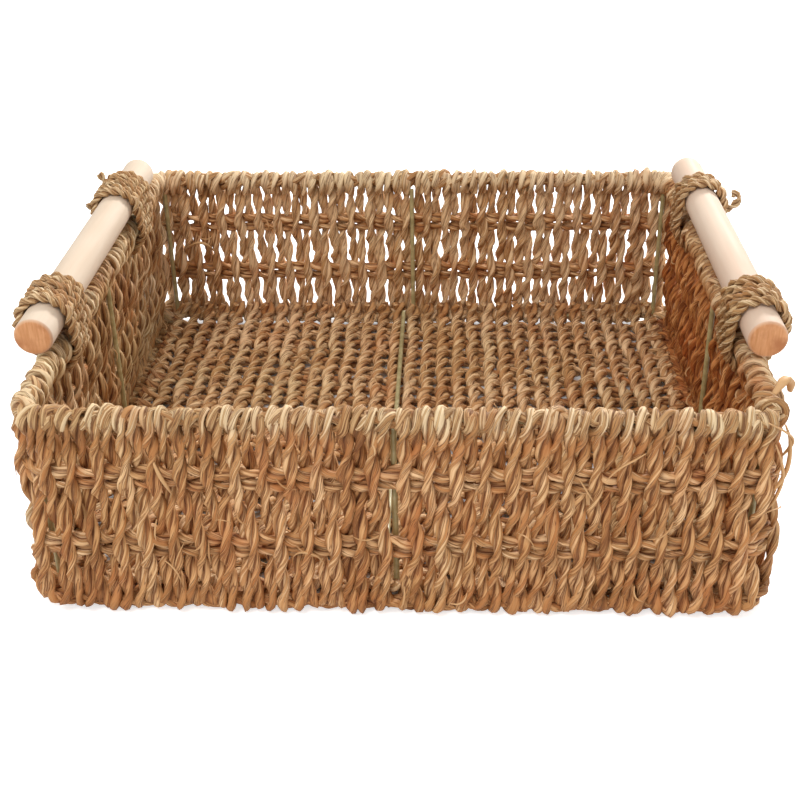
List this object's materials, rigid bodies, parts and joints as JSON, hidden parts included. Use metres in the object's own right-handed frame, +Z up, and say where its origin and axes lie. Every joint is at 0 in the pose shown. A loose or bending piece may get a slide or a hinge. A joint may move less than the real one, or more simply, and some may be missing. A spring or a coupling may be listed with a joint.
{
  "type": "bread basket",
  "caption": "Rectangular woven seagrass basket on a painted wire frame, open at the top, with a wooden dowel handle lashed along each short side.",
  "frame": {"origin": "middle of the base, on the surface that the basket stands on", "axes": "+Z up, X along the long side, -Y towards the front"},
  "size_m": [0.395, 0.321, 0.1458],
  "materials": {
    "wire": "olive khaki paint, satin",
    "wall_cord": "twisted seagrass cord, matt with a slight sheen along the fibres",
    "floor_cord": "twisted seagrass cord, matt",
    "band_cord": "twisted seagrass cord, matt",
    "wrap_cord": "twisted seagrass cord, matt, lighter along the rim",
    "lashing_cord": "twisted seagrass cord, matt",
    "handle_wood": "bare sanded pale wood"
  },
  "bodies": {
    "basket": {"rim_wire": "wire", "base_wire": "wire", "front_left_post": "wire", "front_right_post": "wire", "back_left_post": "wire", "back_right_post": "wire", "front_mid_post": "wire", "back_mid_post": "wire", "left_mid_post": "wire", "right_mid_post": "wire", "floor_wire": "wire", "front_wall_weave": "wall_cord", "back_wall_weave": "wall_cord", "left_wall_weave": "wall_cord", "right_wall_weave": "wall_cord", "floor_weave": "floor_cord", "upper_band": "band_cord", "lower_band": "band_cord", "front_rim_wrap": "wrap_cord", "back_rim_wrap": "wrap_cord", "left_rim_wrap": "wrap_cord", "right_rim_wrap": "wrap_cord", "left_front_lashing": "lashing_cord", "left_back_lashing": "lashing_cord", "right_front_lashing": "lashing_cord", "right_back_lashing": "lashing_cord"},
    "left_dowel": {"left_handle": "handle_wood"},
    "right_dowel": {"right_handle": "handle_wood"}
  },
  "joints": [
    {"name": "left_handle_roll", "type": "hinge", "parent": "basket", "child": "left_dowel", "pos_m": [-0.1817, 0.007, 0.12996], "axis": [0, 1, 0], "continuous": true},
    {"name": "right_handle_roll", "type": "hinge", "parent": "basket", "child": "right_dowel", "pos_m": [0.1817, 0.007, 0.12996], "axis": [0, 1, 0], "continuous": true}
  ]
}
